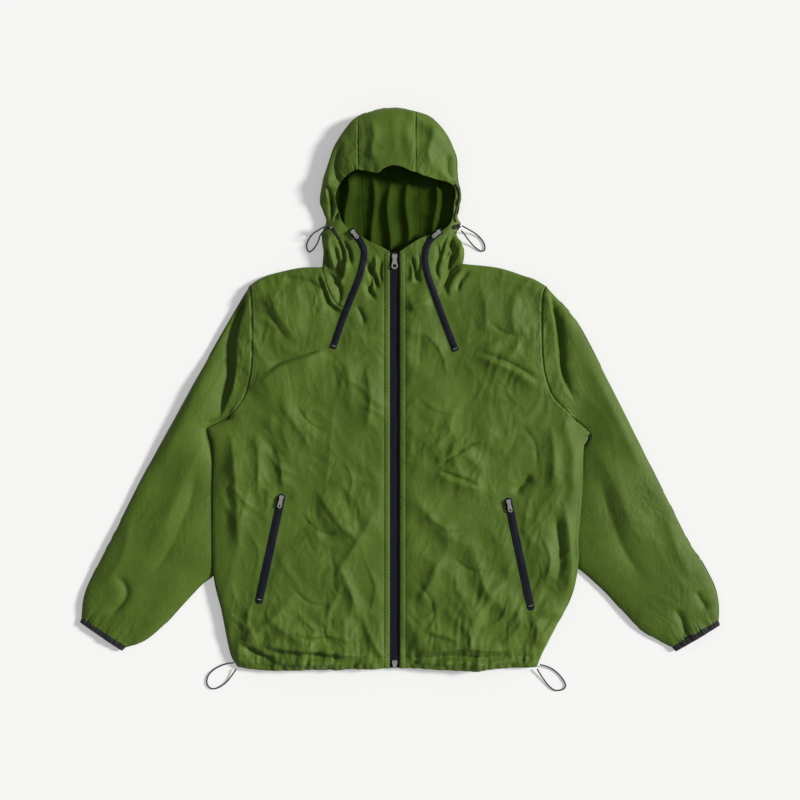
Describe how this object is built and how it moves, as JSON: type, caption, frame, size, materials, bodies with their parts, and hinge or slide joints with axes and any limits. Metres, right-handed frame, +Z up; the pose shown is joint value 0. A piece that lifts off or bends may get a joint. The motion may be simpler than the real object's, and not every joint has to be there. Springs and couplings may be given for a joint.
{
  "type": "hooded windbreaker jacket",
  "caption": "Light hooded windbreaker laid flat, front up, with front, vent and pocket zips, bound cuffs and cord loops at hood and hem.",
  "frame": {"origin": "on the surface the jacket lies on, at the middle of its width and of its length from hood to hem", "axes": "+Z up from the surface, +Y towards the hood, +X towards the wearer's left"},
  "size_m": [1.122, 1.0202, 0.0439],
  "materials": {
    "nylon_green": "light crinkled nylon weave, soft sheen",
    "tape_black": "woven zip tape with coil",
    "binding_black": "elastic binding and webbing",
    "cord_black": "braided elastic cord",
    "zip_metal": "warm silver, polished",
    "lock_black": "satin moulded"
  },
  "bodies": {
    "garment": {"back": "nylon_green", "cord_face_left": "cord_black", "cord_hem_left": "cord_black", "cord_hem_right": "cord_black", "cord_hood_left": "cord_black", "cord_hood_right": "cord_black", "cuff_left": "binding_black", "cuff_right": "binding_black", "front_left": "nylon_green", "front_right": "nylon_green", "hood_center": "nylon_green", "hood_left": "nylon_green", "hood_right": "nylon_green", "lock_hood_left": "lock_black", "lock_hood_right": "lock_black", "lock_tab_right": "binding_black", "pocket_zip_left": "tape_black", "pocket_zip_right": "tape_black", "sleeve_left": "nylon_green", "sleeve_right": "nylon_green", "slider_front_bottom": "zip_metal", "slider_front_top": "zip_metal", "slider_pocket_left": "zip_metal", "slider_pocket_right": "zip_metal", "slider_vent_left": "zip_metal", "slider_vent_right": "zip_metal", "vent_zip_left": "tape_black", "vent_zip_right": "tape_black", "zip_tape_left": "tape_black", "zip_tape_right": "tape_black"},
    "tab_front_bottom": {"pull_front_bottom": "zip_metal"},
    "tab_front_top": {"pull_front_top": "zip_metal"},
    "tab_pocket_left": {"pull_pocket_left": "zip_metal"},
    "tab_pocket_right": {"pull_pocket_right": "zip_metal"},
    "tab_vent_left": {"pull_vent_left": "zip_metal"},
    "tab_vent_right": {"pull_vent_right": "zip_metal"}
  },
  "joints": [
    {"name": "hinge_front_bottom", "type": "hinge", "parent": "garment", "child": "tab_front_bottom", "pos_m": [-0.0093, -0.4795, 0.01722], "axis": [-1, 0, 0], "range_deg": [0, 160]},
    {"name": "hinge_front_top", "type": "hinge", "parent": "garment", "child": "tab_front_top", "pos_m": [-0.0093, 0.229, 0.03034], "axis": [-1, 0, 0], "range_deg": [0, 160]},
    {"name": "hinge_pocket_left", "type": "hinge", "parent": "garment", "child": "tab_pocket_left", "pos_m": [0.18962, -0.19785, 0.02245], "axis": [-0.9797, -0.2004, 0], "range_deg": [0, 160]},
    {"name": "hinge_pocket_right", "type": "hinge", "parent": "garment", "child": "tab_pocket_right", "pos_m": [-0.20716, -0.19068, 0.02245], "axis": [-0.9775, 0.2108, 0], "range_deg": [0, 160]},
    {"name": "hinge_vent_left", "type": "hinge", "parent": "garment", "child": "tab_vent_left", "pos_m": [0.06612, 0.27178, 0.03209], "axis": [-0.6559, 0.7548, 0], "range_deg": [0, 160]},
    {"name": "hinge_vent_right", "type": "hinge", "parent": "garment", "child": "tab_vent_right", "pos_m": [-0.08086, 0.27208, 0.03204], "axis": [-0.783, -0.622, 0], "range_deg": [0, 160]}
  ]
}
